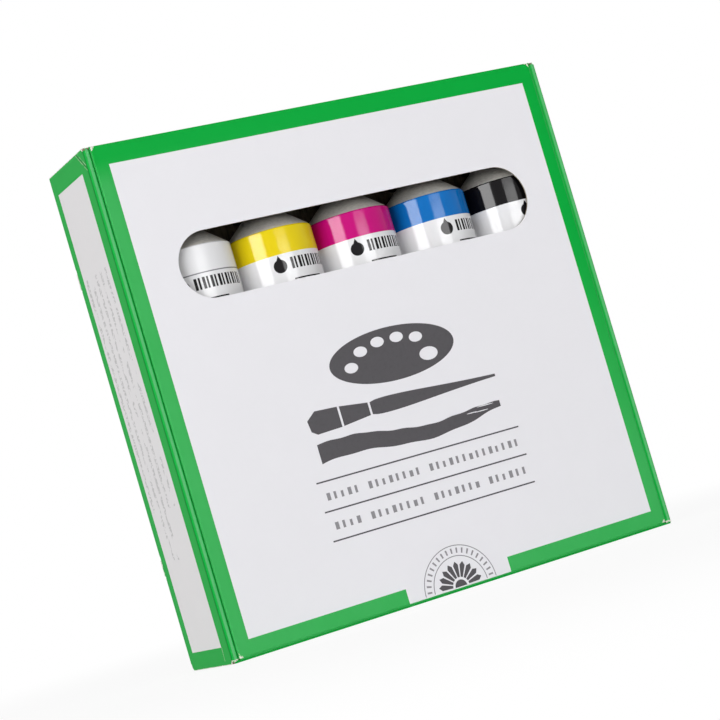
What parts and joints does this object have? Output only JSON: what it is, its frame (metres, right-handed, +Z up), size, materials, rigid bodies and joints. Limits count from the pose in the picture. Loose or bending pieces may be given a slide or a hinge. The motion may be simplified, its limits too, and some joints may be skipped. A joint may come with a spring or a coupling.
{
  "type": "gouache paint set box",
  "caption": "Folding carton with double rolled side walls, a hinged lid with a slot window and a tuck flap, holding a row of capped paint tubes.",
  "frame": {"origin": "middle of the footprint, on the surface that the box stands on", "axes": "+Z up through the top wall, -Y out through the lid and its window, +X to the right of someone who faces the lid"},
  "size_m": [0.1764, 0.037, 0.1726],
  "materials": {
    "printed_board": "printed and varnished white-lined chipboard, green with white panels, fine paper tooth",
    "raw_board": "bare grey-brown chipboard, inside face of the carton",
    "tube_metal": "aluminium tube, printed white with a coloured band, bare dull metal at the shoulder",
    "cap_plastic": "moulded black plastic screw cap, fluted"
  },
  "bodies": {
    "carton": {"back_panel": "printed_board", "top_wall": "printed_board", "bottom_wall": "printed_board", "left_wall": "printed_board", "right_wall": "printed_board", "left_rolled_wall": "printed_board", "right_rolled_wall": "printed_board", "top_left_corner_flap": "raw_board", "top_right_corner_flap": "raw_board", "bottom_left_corner_flap": "raw_board", "bottom_right_corner_flap": "raw_board", "white_tube": "tube_metal", "yellow_tube": "tube_metal", "magenta_tube": "tube_metal", "blue_tube": "tube_metal", "black_tube": "tube_metal"},
    "lid": {"lid_panel": "printed_board"},
    "tuck": {"tuck_flap": "printed_board"},
    "left_flap": {"lid_left_flap": "printed_board"},
    "right_flap": {"lid_right_flap": "printed_board"},
    "white_cap_body": {"white_cap": "cap_plastic"},
    "yellow_cap_body": {"yellow_cap": "cap_plastic"},
    "magenta_cap_body": {"magenta_cap": "cap_plastic"},
    "blue_cap_body": {"blue_cap": "cap_plastic"},
    "black_cap_body": {"black_cap": "cap_plastic"}
  },
  "joints": [
    {"name": "lid_hinge", "type": "hinge", "parent": "carton", "child": "lid", "pos_m": [0, -0.0185, 0.17259], "axis": [-1, 0, 0], "range_deg": [0, 110]},
    {"name": "tuck_fold", "type": "hinge", "parent": "lid", "child": "tuck", "pos_m": [0, -0.0185, 0.0009], "axis": [-1, 0, 0], "range_deg": [0, 28]},
    {"name": "left_flap_fold", "type": "hinge", "parent": "lid", "child": "left_flap", "pos_m": [-0.08564, -0.0185, 0.08], "axis": [0, 0, 1], "range_deg": [0, 22.5]},
    {"name": "right_flap_fold", "type": "hinge", "parent": "lid", "child": "right_flap", "pos_m": [0.08564, -0.0185, 0.08], "axis": [0, 0, -1], "range_deg": [0, 22.5]},
    {"name": "white_cap_turn", "type": "hinge", "parent": "carton", "child": "white_cap_body", "pos_m": [-0.0566, -0.0015, 0.15], "axis": [0, 0, 1], "range_deg": [0, 720]},
    {"name": "yellow_cap_turn", "type": "hinge", "parent": "carton", "child": "yellow_cap_body", "pos_m": [-0.0255, -0.0015, 0.15], "axis": [0, 0, 1], "range_deg": [0, 720]},
    {"name": "magenta_cap_turn", "type": "hinge", "parent": "carton", "child": "magenta_cap_body", "pos_m": [0.0056, -0.0015, 0.15], "axis": [0, 0, 1], "range_deg": [0, 720]},
    {"name": "blue_cap_turn", "type": "hinge", "parent": "carton", "child": "blue_cap_body", "pos_m": [0.0367, -0.0015, 0.15], "axis": [0, 0, 1], "range_deg": [0, 720]},
    {"name": "black_cap_turn", "type": "hinge", "parent": "carton", "child": "black_cap_body", "pos_m": [0.0678, -0.0015, 0.15], "axis": [0, 0, 1], "range_deg": [0, 720]}
  ],
  "couplings": [
    {"joint": "tuck_fold", "follows": "lid_hinge", "ratio": 0.25},
    {"joint": "left_flap_fold", "follows": "lid_hinge", "ratio": 0.2},
    {"joint": "right_flap_fold", "follows": "lid_hinge", "ratio": 0.2}
  ]
}
